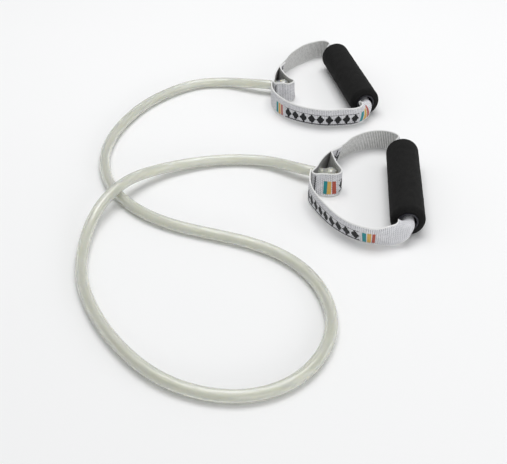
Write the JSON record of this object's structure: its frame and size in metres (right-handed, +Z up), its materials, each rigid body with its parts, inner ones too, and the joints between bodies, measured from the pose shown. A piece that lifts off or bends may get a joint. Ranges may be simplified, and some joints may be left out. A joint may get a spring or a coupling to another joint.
{
  "type": "resistance band",
  "caption": "Hollow rubber exercise tube, each end plugged inside the folded pocket of a webbing handle with a foam grip, lying in two loose loops.",
  "frame": {"origin": "on the surface that the band lies on, below the middle of the box round the two handles (straps, stitching and grips)", "axes": "+Z up from the surface; +Y from the front handle to the rear one; +X from the tube's loops towards the grips"},
  "size_m": [0.3514, 0.6409, 0.035],
  "materials": {
    "tube_rubber": "satin, slightly translucent natural latex, pale grey-green",
    "plug_plastic": "matt",
    "webbing": "ribbed woven polypropylene, light grey, with a woven geometric band",
    "thread": "bonded polyester sewing thread",
    "grip_foam": "matt closed-cell foam with fine pores",
    "core_plastic": "smooth moulded tube"
  },
  "bodies": {
    "tube": {"resistance_tube": "tube_rubber", "front_tube_plug": "plug_plastic", "rear_tube_plug": "plug_plastic"},
    "front_strap": {"front_webbing_strap": "webbing", "front_near_stitching": "thread", "front_far_stitching": "thread"},
    "front_grip": {"front_grip_foam": "grip_foam", "front_grip_core": "core_plastic"},
    "rear_strap": {"rear_webbing_strap": "webbing", "rear_near_stitching": "thread", "rear_far_stitching": "thread"},
    "rear_grip": {"rear_grip_foam": "grip_foam", "rear_grip_core": "core_plastic"}
  },
  "joints": [
    {"name": "front_swivel", "type": "hinge", "parent": "tube", "child": "front_strap", "pos_m": [-0.0308, -0.0942, 0.012], "axis": [0.9135, -0.4067, 0], "continuous": true},
    {"name": "front_grip_spin", "type": "hinge", "parent": "front_strap", "child": "front_grip", "pos_m": [0.0568, -0.1264, 0.0175], "axis": [0.0819, 0.9966, 0], "continuous": true},
    {"name": "rear_swivel", "type": "hinge", "parent": "tube", "child": "rear_strap", "pos_m": [-0.0742, 0.1099, 0.012], "axis": [0.9703, -0.2419, 0], "continuous": true},
    {"name": "rear_grip_spin", "type": "hinge", "parent": "rear_strap", "child": "rear_grip", "pos_m": [0.0189, 0.119, 0.0175], "axis": [-0.2045, 0.9789, 0], "continuous": true}
  ]
}
